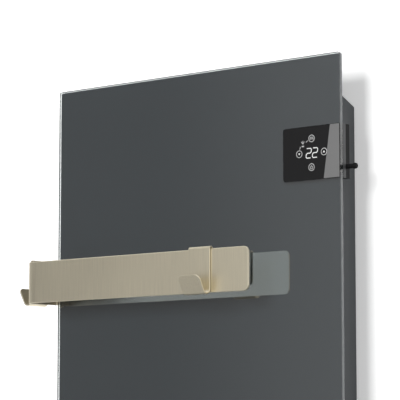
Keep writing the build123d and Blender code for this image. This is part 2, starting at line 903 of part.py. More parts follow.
touch_places = [(-touch_pitch_x, 0), (touch_pitch_x, 0), (0, -touch_pitch_z), (0, touch_pitch_z)]
with BuildPart() as touch_springs:
    spring_depth = display_board_y - enamel_rear_y
    for x, z in touch_places:
        start = (fascia_x + x, enamel_rear_y, control_centre_z + z)
        rod(start, (0, 1, 0), touch_spring_radius, spring_depth)
        rod(start, (0, 1, 0), touch_spring_radius - touch_spring_wall, spring_depth, Mode.SUBTRACT)
export(touch_springs, "touch_springs")

# Push button: domed head, neck through the housing's side, retaining clip, and stem that meets the switch
with BuildPart() as power_button:
    head_start = button_tip_x - button_head_length
    rod((neck_end_x, button_y, button_z), (1, 0, 0), button_radius, head_start - neck_end_x)
    rod((head_start, button_y, button_z), (1, 0, 0), button_head_radius, button_head_length)
    crown = power_button.edges().filter_by(GeomType.CIRCLE).sort_by(Axis.X)[-1]
    fillet(crown, button_head_length * 0.6)
    stem_start = switch_right_x + button_travel + fit_clearance
    rod((stem_start, button_y, button_z), (1, 0, 0), button_stem_radius, neck_end_x - stem_start)
    groove = button_radius * 0.8
    with BuildSketch(Plane(origin=(clip_left_x, button_y, button_z), z_dir=(1, 0, 0))):
        Circle(button_radius)
        Circle(groove, mode=Mode.SUBTRACT)
    extrude(amount=clip_thickness, mode=Mode.SUBTRACT)
export(power_button, "power_button")

with BuildPart() as button_clip:
    rod((clip_left_x, button_y, button_z), (1, 0, 0), clip_radius, clip_thickness)
    clip_bore = groove + thread_play
    rod((clip_left_x, button_y, button_z), (1, 0, 0), clip_bore, clip_thickness, Mode.SUBTRACT)
    block(
        (clip_left_x, button_y - clip_bore, button_z),
        (clip_right_x, button_y + clip_bore, button_z + 2 * clip_radius),
        Mode.SUBTRACT,
    )
export(button_clip, "button_clip")

with BuildPart() as button_spring:
    coil_start = switch_right_x + spring_wire / 2 + thread_play
    coil_span = spring_length - spring_wire - 2 * thread_play
    with BuildLine():
        coil = Helix(
            coil_span / spring_turns,
            coil_span,
            spring_mean_radius,
            center=(coil_start, button_y, button_z),
            direction=(1, 0, 0),
        )
    with BuildSketch(Plane(origin=coil @ 0, z_dir=coil % 0)):
        Circle(spring_wire / 2)
    sweep(is_frenet=True)
export(button_spring, "button_spring")

with BuildPart() as button_switch:
    block(
        (switch_right_x - switch_length, shell_joint_y, button_z - switch_height / 2),
        (switch_right_x, shell_joint_y + switch_depth, button_z + switch_height / 2),
    )
export(button_switch, "button_switch")

# Tray that carries the electronics: a folded plate with feet on the casing's back
tray_half = tray_width / 2
with BuildPart() as electronics_tray:
    block((-tray_half, tray_front_y, tray_bottom), (tray_half, tray_rear_y, tray_bottom + tray_height))
    for side in (-1, 1):
        wall = sorted((side * tray_half, side * (tray_half - tray_sheet)))
        block((wall[0], tray_rear_y, tray_bottom), (wall[1], casing_inner_back_y, tray_bottom + tray_height))
        foot = sorted((side * tray_half, side * (tray_half + tray_foot)))
        block(
            (foot[0], casing_inner_back_y - tray_sheet, tray_bottom),
            (foot[1], casing_inner_back_y, tray_bottom + tray_height),
        )
export(electronics_tray, "electronics_tray")

board_places = [
    (power_board_x + x, tray_centre_z + z)
    for x, z in corners(power_board_width / 2 - board_hole_inset, power_board_height / 2 - board_hole_inset)
]
board_screw_radius = standoff_radius / 2
with BuildPart() as board_standoffs:
    for x, z in board_places:
        rod((x, tray_rear_y, z), (0, 1, 0), standoff_radius, standoff_length)
        rod((x, tray_rear_y, z), (0, 1, 0), board_screw_radius + thread_play, standoff_length, Mode.SUBTRACT)
export(board_standoffs, "board_standoffs")

with BuildPart() as power_board:
    panel(
        power_board_front_y,
        power_board_rear_y,
        power_board_width,
        power_board_height,
        x=power_board_x,
        z=tray_centre_z,
    )
    for x, z in board_places:
        hole = board_screw_radius + screw_clearance
        rod((x, power_board_front_y, z), (0, 1, 0), hole, board_thickness, Mode.SUBTRACT)
export(power_board, "power_board")

with BuildPart() as board_screws:
    board_shank = board_thickness + standoff_length * 0.8
    for x, z in board_places:
        add(screw((x, power_board_rear_y, z), (0, -1, 0), board_screw_radius, board_shank))
export(board_screws, "board_screws")


def board_box(width, height, depth, x, z):
    # a component on the power board's rear, placed from the board's centre
    panel(
        power_board_rear_y,
        power_board_rear_y + depth,
        width,
        height,
        x=power_board_x + x,
        z=tray_centre_z + z,
        corner=1,
    )


board_top = tray_centre_z + power_board_height / 2
with BuildPart() as relay:
    board_box(relay_width, relay_height, relay_depth, relay_x, relay_z)
export(relay, "relay")

with BuildPart() as supply_module:
    board_box(supply_width, supply_height, supply_depth, supply_x, supply_z)
export(supply_module, "supply_module")

with BuildPart() as board_header:
    board_box(header_width, header_height, header_depth, 0, power_board_height / 2 - header_height / 2)
export(board_header, "board_header")

# Terminal block with a wire hole and a screw for each pole
terminal_z = tray_bottom + terminal_rise
terminal_y = tray_rear_y + terminal_depth / 2
pole_pitch = terminal_width / terminal_poles
pole_places = [terminal_x + (n - (terminal_poles - 1) / 2) * pole_pitch for n in range(terminal_poles)]
pole_radius = lead_radius + screw_clearance
screw_well_radius = pole_radius + screw_well_margin
with BuildPart() as terminal_block:
    terminal_rear_y = tray_rear_y + terminal_depth
    panel(tray_rear_y, terminal_rear_y, terminal_width, terminal_height, x=terminal_x, z=terminal_z)
    long_edges = terminal_block.faces().sort_by(Axis.Y)[-1].edges().filter_by(Axis.X)
    chamfer(long_edges, terminal_bevel)
    for pole_x in pole_places:
        for level in (-1, 1):
            start = (pole_x, terminal_y, terminal_z + level * terminal_height / 2)
            rod(start, (0, 0, -level), pole_radius, terminal_height * 0.3, Mode.SUBTRACT)
        screw_start = (pole_x, terminal_rear_y, terminal_z)
        rod(screw_start, (0, -1, 0), screw_well_radius, terminal_depth * 0.4, Mode.SUBTRACT)
export(terminal_block, "terminal_block")

with BuildPart() as terminal_screws:
    for pole_x in pole_places:
        screw_bottom = tray_rear_y + terminal_depth * 0.6
        head_height = terminal_depth * 0.2
        rod((pole_x, screw_bottom, terminal_z), (0, 1, 0), screw_well_radius - fit_clearance, head_height)
        slot_y = screw_bottom + head_height
        block(
            (pole_x - screw_well_radius, slot_y - driver_slot_depth, terminal_z - driver_slot_width / 2),
            (pole_x + screw_well_radius, slot_y, terminal_z + driver_slot_width / 2),
            Mode.SUBTRACT,
        )
export(terminal_screws, "terminal_screws")

earth_z = tray_bottom + earth_rise
earth_ring_radius = earth_stud_radius * 2.2
earth_nut_flats = earth_stud_radius * 3.5
earth_nut_height = earth_stud_radius * 1.5
with BuildPart() as earth_stud:
    rod((earth_x, tray_rear_y, earth_z), (0, 1, 0), earth_stud_radius, earth_stud_length)
export(earth_stud, "earth_stud")

with BuildPart() as earth_nut:
    nut_y = tray_rear_y + earth_ring_thickness
    hexagon((earth_x, nut_y, earth_z), (0, 1, 0), earth_nut_flats, earth_nut_height)
    bore = earth_stud_radius + thread_play
    rod((earth_x, nut_y, earth_z), (0, 1, 0), bore, earth_nut_height, Mode.SUBTRACT)
export(earth_nut, "earth_nut")

# Wiring inside the casing, each wire along straight runs with arcs
terminal_top = terminal_z + terminal_height / 2
terminal_low = terminal_z - terminal_height / 2
film_tab_end = film_bottom - film_tab_length
behind_insulation_y = insulation_rear_y + 2 * lead_radius
above_tray_z = tray_bottom + tray_height + lead_height_over_tray
tight_bend = lead_radius * 1.6
with BuildPart() as film_tabs:
    for n in range(2):
        panel(
            enamel_rear_y,
            film_rear_y,
            film_tab_width,
            film_tab_length,
            x=film_tab_x + n * film_tab_pitch,
            z=film_bottom - film_tab_length / 2,
        )
export(film_tabs, "film_tabs")

with BuildPart() as element_leads:
    lead_y = enamel_rear_y + lead_radius + lead_gap
    for n in range(2):
        tab_x = film_tab_x + n * film_tab_pitch
        low_z = (film_tab_end + ledge_z) / 2
        route = [
            (tab_x, lead_y, film_tab_end),
            (tab_x, lead_y, low_z),
            (pole_places[n], terminal_y, low_z),
            (pole_places[n], terminal_y, terminal_low),
        ]
        add(lead(route, lead_radius, lead_bend))
export(element_leads, "element_leads")

with BuildPart() as cutout_leads:
    for n, side in enumerate((-1, 1)):
        lug_x = cutout_x + side * cutout_radius / 2
        lane = lug_x - cutout_lane_shift + cutout_lane_pitch * n
        shift_top = cutout_z - cutout_lane_start - cutout_lane_stagger * n
        route = [
            (lug_x, lug_rear_y, cutout_z),
            (lug_x, behind_insulation_y, cutout_z),
            (lug_x, behind_insulation_y, shift_top),
            (lane, behind_insulation_y, shift_top - cutout_lane_drop),
            (lane, behind_insulation_y, above_tray_z),
            (pole_places[n + 1], terminal_y, above_tray_z - terminal_approach),
            (pole_places[n + 1], terminal_y, terminal_top),
        ]
        add(lead(route, lead_radius, [tight_bend, lead_bend, lead_bend, lead_bend, lead_bend]))
export(cutout_leads, "cutout_leads")

with BuildPart() as earth_lead:
    ring_start = (earth_x, tray_rear_y, earth_z)
    lead_stand_y = tray_rear_y + lead_radius + lead_gap
    ring_edge_z = earth_z - earth_ring_radius + earth_ring_overlap
    route = [
        (pole_places[0], terminal_y, terminal_top),
        (pole_places[0], terminal_y, terminal_top + earth_lead_rise),
        (earth_x, lead_stand_y, terminal_top + earth_lead_shift_rise),
        (earth_x, lead_stand_y, ring_edge_z),
    ]
    add(lead(route, lead_radius, lead_bend))
    rod(ring_start, (0, 1, 0), earth_ring_radius, earth_ring_thickness)
    rod(ring_start, (0, 1, 0), earth_stud_radius + thread_play, earth_ring_thickness, Mode.SUBTRACT)
    above_ring_y = tray_rear_y + earth_ring_thickness
    nut_room_radius = earth_stud_radius * 2.1
    rod((earth_x, above_ring_y, earth_z), (0, 1, 0), nut_room_radius, 3 * lead_radius, Mode.SUBTRACT)
export(earth_lead, "earth_lead")

board_lead_z = terminal_top + board_lead_rise
with BuildPart() as board_leads:
    for n in range(2):
        pole_x = pole_places[3 + n]
        level = board_lead_z + (1 - n) * 3 * lead_radius
        board_edge_x = power_board_x - power_board_width / 2 + (2 - n) * board_lead_pitch
        lane_y = terminal_y + 3 * lead_radius
        route = [
            (pole_x, terminal_y, terminal_top),
            (pole_x, lane_y, level),
            (board_edge_x, lane_y, level),
            (board_edge_x, power_board_rear_y, level),
        ]
        add(lead(route, lead_radius, [close_bend, lead_radius * 1.4]))
export(board_leads, "board_leads")

header_y = power_board_rear_y + header_depth / 2
with BuildPart() as sensor_lead:
    header_x = power_board_x - header_width / 3
    sensor_top = sensor_z + sensor_length / 2
    sensor_turn_z = sensor_top + sensor_lead_stub
    over_leads_y = behind_insulation_y + 2.2 * lead_radius
    crossing_z = above_tray_z + 4 * lead_radius
    route = [
        (sensor_x, sensor_axis_y, sensor_top),
        (sensor_x, sensor_axis_y, sensor_turn_z),
        (sensor_x, behind_insulation_y, sensor_turn_z),
        (sensor_x, behind_insulation_y, crossing_z),
        (sensor_x + 3 * lead_bend, over_leads_y, crossing_z),
        (header_x, over_leads_y, crossing_z),
        (header_x, header_y, crossing_z),
        (header_x, header_y, board_top),
    ]
    sensor_bends = [tight_bend, tight_bend, lead_bend, lead_bend, lead_bend, close_bend]
    add(lead(route, sensor_lead_radius, sensor_bends))
export(sensor_lead, "sensor_lead")

with BuildPart() as control_cable:
    header_x = power_board_x + header_width / 3
    lane_z = above_tray_z + 5 * lead_radius
    cable_y = behind_insulation_y + 2 * lead_radius
    route = [
        (cable_hole_x, shell_back_y - shell_back_wall, cable_hole_z),
        (cable_hole_x, cable_y, cable_hole_z),
        (cable_hole_x, cable_y, lane_z),
        (header_x, cable_y, lane_z),
        (header_x, header_y, lane_z - cable_drop),
        (header_x, header_y, board_top),
    ]
    add(lead(route, lead_radius, [close_bend, lead_bend, lead_bend / 2, lead_bend / 2]))
export(control_cable, "control_cable")

# Cover over the opening behind the electronics
with BuildPart() as service_cover:
    panel(
        casing_back_y,
        cover_rear_y,
        cover_width,
        cover_height,
        x=service_x,
        z=service_z,
        corner=cover_corner,
    )
    for x, z in corners(cover_screw_x, cover_screw_z):
        start = (service_x + x, casing_back_y, service_z + z)
        rod(start, (0, 1, 0), cover_screw_radius + screw_clearance, casing_sheet, Mode.SUBTRACT)
export(service_cover, "service_cover")

with BuildPart() as cover_screws:
    for x, z in corners(cover_screw_x, cover_screw_z):
        start = (service_x + x, cover_rear_y, service_z + z)
        add(screw(start, (0, -1, 0), cover_screw_radius - thread_play, cover_screw_length))
export(cover_screws, "cover_screws")

# Cable gland in the bottom ledge, with its nut inside
gland_low = ledge_z - gland_flange_thickness - gland_dome_length
gland_length = gland_flange_thickness + gland_dome_length + gland_inside_length
with BuildPart() as cable_gland:
    rod((gland_x, gland_y, ledge_z), (0, 0, 1), gland_thread_radius, gland_inside_length)
    hexagon((gland_x, gland_y, ledge_z), (0, 0, -1), gland_flats, gland_flange_thickness)
    dome_start = (gland_x, gland_y, ledge_z - gland_flange_thickness)
    rod(dome_start, (0, 0, -1), gland_dome_radius, gland_dome_length)
    lip = cable_gland.edges().filter_by(GeomType.CIRCLE).sort_by(Axis.Z)[0]
    fillet(lip, gland_lip_rounding)
    rod((gland_x, gland_y, gland_low), (0, 0, 1), gland_bore_radius, gland_length, Mode.SUBTRACT)
export(cable_gland, "cable_gland")

with BuildPart() as gland_nut:
    hexagon((gland_x, gland_y, ledge_inner_z), (0, 0, 1), gland_nut_flats, gland_nut_thickness)
    bore = gland_thread_radius + thread_play
    rod((gland_x, gland_y, ledge_inner_z), (0, 0, 1), bore, gland_nut_thickness, Mode.SUBTRACT)
export(gland_nut, "gland_nut")

# Wall bracket: pressed frame with four bolt holes, four hooks and two tabs for the lock screws
lock_tab_bottom = lock_tab_top - bracket_sheet
bracket_height = bolt_spacing_z + bracket_strip
window_height = bolt_spacing_z / 2 - bracket_strip
hook_front_y = casing_inner_back_y - wall_hook_slack - bracket_sheet
with BuildPart() as wall_bracket:
    panel(bracket_front_y, 0, 2 * bracket_half, bracket_height, corner=bracket_corner)
    for level in (-1, 1):
        panel(
            bracket_front_y,
            0,
            2 * bracket_half - 2 * bracket_strip,
            window_height,
            z=level * bolt_spacing_z / 4,
            corner=bracket_window_corner,
            mode=Mode.SUBTRACT,
        )
    for x, z in corners(bolt_spacing_x / 2, bolt_spacing_z / 2):
        rod((x, bracket_front_y, z), (0, 1, 0), bolt_hole_radius, bracket_sheet, Mode.SUBTRACT)
    for row_z in wall_hook_rows:
        for side in (-1, 1):
            low_x = side * wall_hook_x - wall_hook_width / 2
            high_x = side * wall_hook_x + wall_hook_width / 2
            block((low_x, hook_front_y, row_z - bracket_sheet), (high_x, bracket_front_y, row_z))
            block(
                (low_x, hook_front_y, row_z - bracket_sheet),
                (high_x, hook_front_y + bracket_sheet, row_z + wall_hook_lip),
            )
    for side in (-1, 1):
        low_x = side * lock_x - lock_tab_width / 2
        high_x = side * lock_x + lock_tab_width / 2
        block((low_x, bracket_front_y, lock_tab_bottom), (high_x, 0, -bolt_spacing_z / 2))
        block((low_x, -lock_tab_depth, lock_tab_bottom), (high_x, 0, lock_tab_top))
        hole_start = (side * lock_x, lock_y, lock_tab_bottom)
        rod(hole_start, (0, 0, 1), lock_screw_radius + screw_clearance, bracket_sheet, Mode.SUBTRACT)
export(wall_bracket, "wall_bracket")

with BuildPart() as lock_nuts:
    for side in (-1, 1):
        start = (side * lock_x, lock_y, ledge_inner_z)
        hexagon(start, (0, 0, 1), lock_nut_flats, lock_nut_thickness)
        rod(start, (0, 0, 1), lock_screw_radius + thread_play, lock_nut_thickness, Mode.SUBTRACT)
export(lock_nuts, "lock_nuts")

with BuildPart() as lock_screws:
    lock_grip = bracket_sheet + lock_gap + casing_sheet + lock_nut_thickness
    for side in (-1, 1):
        start = (side * lock_x, lock_y, lock_tab_bottom)
        add(screw(start, (0, 0, 1), lock_screw_radius, lock_grip + screw_run_through))
export(lock_screws, "lock_screws")

# Rubber spacers between the casing's back and the bracket
with BuildPart() as spacer_pads:
    for x, z in corners(bolt_spacing_x / 2, pad_spread_z / 2):
        rod((x, casing_back_y, z), (0, 1, 0), pad_radius, wall_gap - bracket_sheet)
export(spacer_pads, "spacer_pads")
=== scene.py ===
import json
import math

import bmesh
import bpy
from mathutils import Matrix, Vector


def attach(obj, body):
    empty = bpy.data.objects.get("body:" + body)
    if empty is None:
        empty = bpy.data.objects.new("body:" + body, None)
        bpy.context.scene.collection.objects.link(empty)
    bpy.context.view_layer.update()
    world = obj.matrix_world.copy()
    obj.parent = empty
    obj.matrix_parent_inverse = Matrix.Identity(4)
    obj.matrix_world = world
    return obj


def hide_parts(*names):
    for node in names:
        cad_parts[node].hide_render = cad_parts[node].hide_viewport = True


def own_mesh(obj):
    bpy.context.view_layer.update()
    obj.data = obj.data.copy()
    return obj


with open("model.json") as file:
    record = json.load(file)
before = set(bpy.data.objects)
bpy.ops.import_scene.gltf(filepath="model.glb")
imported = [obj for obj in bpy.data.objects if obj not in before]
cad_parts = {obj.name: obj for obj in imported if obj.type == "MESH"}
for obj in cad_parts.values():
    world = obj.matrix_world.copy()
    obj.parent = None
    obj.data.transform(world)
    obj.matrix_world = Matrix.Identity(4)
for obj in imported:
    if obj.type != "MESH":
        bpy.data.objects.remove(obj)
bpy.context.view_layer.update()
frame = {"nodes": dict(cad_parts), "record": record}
cadNodes = frame["nodes"]
scene = bpy.context.scene
print("frame loaded:", len(cadNodes), "CAD nodes")

millimetre = 0.001

# the camera stands where the photograph was taken from: to the right, looking slightly up
cameraSetup = {
    "place": (1.7568, -2.1782, 0.0016),
    "tiltDegrees": 96.70,
    "turnDegrees": 39.56,
    "lens": 182.1,
    "sensor": 36.0,
    "clipNear": 0.05,
    "clipFar": 60,
}


def addCamera(setup):
    data = bpy.data.cameras.new("photoCamera")
    data.lens = setup["lens"]
    data.sensor_width = setup["sensor"]
    data.clip_start = setup["clipNear"]
    data.clip_end = setup["clipFar"]
    camera = bpy.data.objects.new("photoCamera", data)
    camera.location = setup["place"]
    tilt, turn = math.radians(setup["tiltDegrees"]), math.radians(setup["turnDegrees"])
    camera.rotation_euler = (tilt, 0, turn)
    scene.collection.objects.link(camera)
    scene.camera = camera


addCamera(cameraSetup)
scene.view_settings.view_transform = "Standard"
print("camera placed")


# shared effects, each one a shader node group

def newGroup(name, inputs, outputs):
    group = bpy.data.node_groups.new(name, "ShaderNodeTree")
    for label, kind, value in inputs:
        socket = group.interface.new_socket(label, in_out="INPUT", socket_type=kind)
        socket.default_value = value
    for label, kind in outputs:
        group.interface.new_socket(label, in_out="OUTPUT", socket_type=kind)
    return group, group.nodes.new("NodeGroupInput"), group.nodes.new("NodeGroupOutput")


def mathNode(group, operation, first=None, second=None):
    node = group.nodes.new("ShaderNodeMath")
    node.operation = operation
    for socket, value in zip(node.inputs, (first, second)):
        if isinstance(value, (int, float)):
            socket.default_value = value
        elif value is not None:
            group.links.new(value, socket)
    return node.outputs[0]


def buildGrain():
    # noise in the piece's own metres, drawn out along an axis for brushed metal
    group, inside, outside = newGroup(
        "grainField",
        [
            ("Scale", "NodeSocketFloat", 800.0),
            ("Stretch", "NodeSocketVector", (1, 1, 1)),
            ("Detail", "NodeSocketFloat", 3.0),
        ],
        [("Tone", "NodeSocketFloat")],
    )
    place = group.nodes.new("ShaderNodeTexCoord")
    drawn = group.nodes.new("ShaderNodeVectorMath")
    drawn.operation = "MULTIPLY"
    noise = group.nodes.new("ShaderNodeTexNoise")
    group.links.new(place.outputs["Object"], drawn.inputs[0])
    group.links.new(inside.outputs["Stretch"], drawn.inputs[1])
    group.links.new(drawn.outputs[0], noise.inputs["Vector"])
    group.links.new(inside.outputs["Scale"], noise.inputs["Scale"])
    group.links.new(inside.outputs["Detail"], noise.inputs["Detail"])
    group.links.new(noise.outputs["Fac"], outside.inputs["Tone"])
    return group


def swingAbout(group, inside):
    # how far the tone lies from its middle, times the amount
    middleTone = 0.5
    centred = mathNode(group, "SUBTRACT", inside.outputs["Tone"], middleTone)
    return mathNode(group, "MULTIPLY", centred, inside.outputs["Amount"])


def buildToneShift():
    # lightens and darkens a colour about its own value
    group, inside, outside = newGroup(
        "toneShift",
        [
            ("Colour", "NodeSocketColor", (0.5, 0.5, 0.5, 1)),
            ("Tone", "NodeSocketFloat", 0.5),
            ("Amount", "NodeSocketFloat", 0.2),
        ],
        [("Colour", "NodeSocketColor")],
    )
    factor = mathNode(group, "ADD", swingAbout(group, inside), 1.0)
    scaled = group.nodes.new("ShaderNodeVectorMath")
    scaled.operation = "SCALE"
    group.links.new(inside.outputs["Colour"], scaled.inputs[0])
    group.links.new(factor, scaled.inputs["Scale"])
    group.links.new(scaled.outputs[0], outside.inputs["Colour"])
    return group


def buildRoughShift():
    # roughness that varies with handling marks
    group, inside, outside = newGroup(
        "roughShift",
        [
            ("Roughness", "NodeSocketFloat", 0.4),
            ("Tone", "NodeSocketFloat", 0.5),
            ("Amount", "NodeSocketFloat", 0.1),
        ],
        [("Roughness", "NodeSocketFloat")],
    )
    total = mathNode(group, "ADD", swingAbout(group, inside), inside.outputs["Roughness"])
    limited = mathNode(group, "MAXIMUM", total, 0.0)
    group.links.new(limited, outside.inputs["Roughness"])
    return group


grainField = buildGrain()
toneShift = buildToneShift()
roughShift = buildRoughShift()


def placeGroup(tree, group, **values):
    node = tree.nodes.new("ShaderNodeGroup")
    node.node_tree = group
    for label, value in values.items():
        if isinstance(value, bpy.types.NodeSocket):
            tree.links.new(value, node.inputs[label])
        else:
            node.inputs[label].default_value = value
    return node


plainFinish = {
    "colour": (0.5, 0.5, 0.5),
    "metal": 0.0,
    "roughness": 0.5,
    "roughSwing": 0.12,
    "grainScale": 900.0,
    "grainStretch": (1, 1, 1),
    "grainSwing": 0.25,
    "cloudScale": 14.0,
    "cloudSwing": 0.12,
    "bump": 0.15,
    "bumpDepth": 0.0001,
    "specular": 0.5,
    "coat": 0.0,
    "coatRoughness": 0.03,
    "coatIor": 1.5,
    "glow": 0.0,
    "clear": 0.0,
    "ior": 1.5,
    "groundEdge": 0.0,
}
finishes = {}


def makeFinish(name, changes):
    look = dict(plainFinish, **changes)
    material = bpy.data.materials.new(name)
    material.use_nodes = True
    tree = material.node_tree
    shader = tree.nodes["Principled BSDF"]
    grain = placeGroup(tree, grainField, Scale=look["grainScale"], Stretch=look["grainStretch"])
    cloud = placeGroup(tree, grainField, Scale=look["cloudScale"])
    grainTone, cloudTone = grain.outputs["Tone"], cloud.outputs["Tone"]
    plainColour = (*look["colour"], 1)
    base = placeGroup(tree, toneShift, Colour=plainColour, Tone=grainTone, Amount=look["grainSwing"])
    baseColour = base.outputs["Colour"]
    shade = placeGroup(tree, toneShift, Colour=baseColour, Tone=cloudTone, Amount=look["cloudSwing"])
    rough = placeGroup(
        tree, roughShift, Roughness=look["roughness"], Tone=cloudTone, Amount=look["roughSwing"]
    )
    tree.links.new(shade.outputs["Colour"], shader.inputs["Base Color"])
    tree.links.new(rough.outputs["Roughness"], shader.inputs["Roughness"])
    if look["bump"] > 0:
        bump = tree.nodes.new("ShaderNodeBump")
        bump.inputs["Strength"].default_value = look["bump"]
        bump.inputs["Distance"].default_value = look["bumpDepth"]
        tree.links.new(grainTone, bump.inputs["Height"])
        tree.links.new(bump.outputs["Normal"], shader.inputs["Normal"])
    shader.inputs["Metallic"].default_value = look["metal"]
    shader.inputs["Specular IOR Level"].default_value = look["specular"]
    shader.inputs["Coat Weight"].default_value = look["coat"]
    shader.inputs["Coat Roughness"].default_value = look["coatRoughness"]
    shader.inputs["Coat IOR"].default_value = look["coatIor"]
    shader.inputs["IOR"].default_value = look["ior"]
    shader.inputs["Transmission Weight"].default_value = look["clear"]
    if look["groundEdge"] > 0:
        grindEdges(tree, shader, rough.outputs["Roughness"], look["groundEdge"])
    if look["glow"] > 0:
        tree.links.new(shade.outputs["Colour"], shader.inputs["Emission Color"])
        shader.inputs["Emission Strength"].default_value = look["glow"]
    if look["clear"] > 0:
        letLightThrough(tree, shader)
    finishes[name] = material


# edge faces point less than facingLimit towards the front or back, and lose coatLoss of their coat
groundEdges = {"facingLimit": 0.9, "coatLoss": 0.5}


def grindEdges(tree, shader, roughness, edgeRoughness):
    # the large faces of a sheet stay polished and its narrow ground edges are rougher
    facing = tree.nodes.new("ShaderNodeTexCoord")
    split = tree.nodes.new("ShaderNodeSeparateXYZ")
    tree.links.new(facing.outputs["Normal"], split.inputs[0])
    flat = mathNode(tree, "ABSOLUTE", split.outputs["Y"])
    edge = mathNode(tree, "LESS_THAN", flat, groundEdges["facingLimit"])
    added = mathNode(tree, "MULTIPLY", edge, edgeRoughness)
    tree.links.new(mathNode(tree, "ADD", roughness, added), shader.inputs["Roughness"])
    worn = mathNode(tree, "MULTIPLY", edge, groundEdges["coatLoss"])
    tree.links.new(mathNode(tree, "SUBTRACT", 1.0, worn), shader.inputs["Coat Weight"])


throughGlassColour = (0.93, 0.96, 0.95, 1)


def letLightThrough(tree, shader):
    # the glass casts no shadow of its own and lets the room's light reach what lies behind it
    output = tree.nodes["Material Output"]
    path = tree.nodes.new("ShaderNodeLightPath")
    through = tree.nodes.new("ShaderNodeBsdfTransparent")
    through.inputs["Color"].default_value = throughGlassColour
    mix = tree.nodes.new("ShaderNodeMixShader")
    either = mathNode(tree, "MAXIMUM", path.outputs["Is Shadow Ray"], path.outputs["Is Diffuse Ray"])
    tree.links.new(either, mix.inputs["Fac"])
    tree.links.new(shader.outputs["BSDF"], mix.inputs[1])
    tree.links.new(through.outputs["BSDF"], mix.inputs[2])
    tree.links.new(mix.outputs["Shader"], output.inputs["Surface"])


# finishes, one entry for each material slot of the record

slotLooks = {
    "clear_glass": {
        "colour": (0.74, 0.775, 0.77), "roughness": 0.0, "roughSwing": 0.01, "grainSwing": 0.0,
        "cloudSwing": 0.02, "bump": 0.0, "clear": 1.0, "ior": 1.5, "coat": 1.0, "coatRoughness": 0.0,
        "coatIor": 2.1, "groundEdge": 0.2,
    },
    "anthracite_enamel": {
        "colour": (0.019, 0.0245, 0.029), "roughness": 0.5, "grainScale": 2600.0, "grainSwing": 0.16,
        "cloudScale": 3.0, "cloudSwing": 0.10, "bump": 0.05, "specular": 0.2,
    },
    "dark_paint": {
        "colour": (0.066, 0.073, 0.079), "roughness": 0.46, "grainScale": 1500.0, "grainSwing": 0.30,
        "bump": 0.35, "bumpDepth": 0.0002,
    },
    "brushed_nickel": {
        "colour": (0.80, 0.732, 0.57), "metal": 1.0, "roughness": 0.42, "roughSwing": 0.10,
        "grainScale": 1500.0, "grainStretch": (1, 1, 0.012), "grainSwing": 0.30, "cloudScale": 9.0,
        "cloudSwing": 0.05, "bump": 0.20, "bumpDepth": 0.00005,
    },
    "black_gloss": {
        "colour": (0.010, 0.010, 0.0105), "roughness": 0.08, "roughSwing": 0.05, "grainSwing": 0.2,
        "bump": 0.01, "specular": 0.3,
    },
    "grey_plastic": {
        "colour": (0.075, 0.078, 0.080), "roughness": 0.42, "grainScale": 2200.0, "grainSwing": 0.3,
        "bump": 0.3,
    },
    "black_plastic": {
        "colour": (0.008, 0.008, 0.0085), "roughness": 0.38, "grainScale": 2400.0, "grainSwing": 0.3,
        "bump": 0.3, "specular": 0.1,
    },
    "galvanised_steel": {
        "colour": (0.55, 0.56, 0.58), "metal": 1.0, "roughness": 0.42, "roughSwing": 0.25,
        "grainScale": 160.0, "grainSwing": 0.35, "cloudScale": 40.0, "cloudSwing": 0.25, "bump": 0.04,
    },
    "screw_steel": {
        "colour": (0.52, 0.52, 0.53), "metal": 1.0, "roughness": 0.32, "grainScale": 3000.0,
        "grainSwing": 0.3,
    },
    "dark_screw": {
        "colour": (0.05, 0.05, 0.055), "metal": 0.6, "roughness": 0.38, "grainScale": 3000.0,
        "grainSwing": 0.4,
    },
    "aluminium_sheet": {
        "colour": (0.72, 0.73, 0.74), "metal": 1.0, "roughness": 0.35, "grainScale": 900.0,
        "grainStretch": (1, 1, 0.03), "grainSwing": 0.25,
    },
    "carbon_film": {
        "colour": (0.03, 0.03, 0.03), "roughness": 0.55, "grainScale": 1800.0, "grainSwing": 0.5,
    },
    "mineral_board": {
        "colour": (0.62, 0.58, 0.48), "roughness": 0.95, "grainScale": 420.0,
        "grainStretch": (1, 1, 0.35), "grainSwing": 0.5, "bump": 0.7, "bumpDepth": 0.0006,
    },
    "black_rubber": {
        "colour": (0.022, 0.022, 0.022), "roughness": 0.72, "grainScale": 1600.0, "grainSwing": 0.35,
        "bump": 0.35,
    },
    "circuit_board": {
        "colour": (0.015, 0.11, 0.055), "roughness": 0.30, "grainScale": 520.0,
        "grainStretch": (1, 1, 0.2), "grainSwing": 0.7, "bump": 0.2,
    },
    "component_black": {
        "colour": (0.024, 0.024, 0.028), "roughness": 0.45, "grainScale": 2600.0, "grainSwing": 0.3,
    },
    "relay_blue": {
        "colour": (0.03, 0.09, 0.30), "roughness": 0.30, "grainScale": 1800.0, "grainSwing": 0.2,
    },
    "terminal_cream": {
        "colour": (0.70, 0.67, 0.58), "roughness": 0.42, "grainScale": 1800.0, "grainSwing": 0.12,
    },
    "wire_grey": {
        "colour": (0.30, 0.30, 0.31), "roughness": 0.5, "grainScale": 2000.0, "grainSwing": 0.2,
    },
    "wire_earth": {
        "colour": (0.16, 0.42, 0.08), "roughness": 0.5, "grainScale": 240.0,
        "grainStretch": (1, 0.1, 1), "grainSwing": 1.2,
    },
    "brass_plate": {
        "colour": (0.70, 0.55, 0.25), "metal": 1.0, "roughness": 0.30, "grainScale": 2400.0,
        "grainSwing": 0.3,
    },
}
for slotName, changes in slotLooks.items():
    makeFinish(slotName, changes)

nodeSlots = {row["node"]: row["material_slot"] for row in frame["record"]["subparts"]}
for nodeName, node in cadNodes.items():
    node.data.materials.clear()
    node.data.materials.append(finishes[nodeSlots[nodeName]])
print("finishes made:", len(finishes))


# helpers for the pieces that Blender adds

sharpDegrees = 35


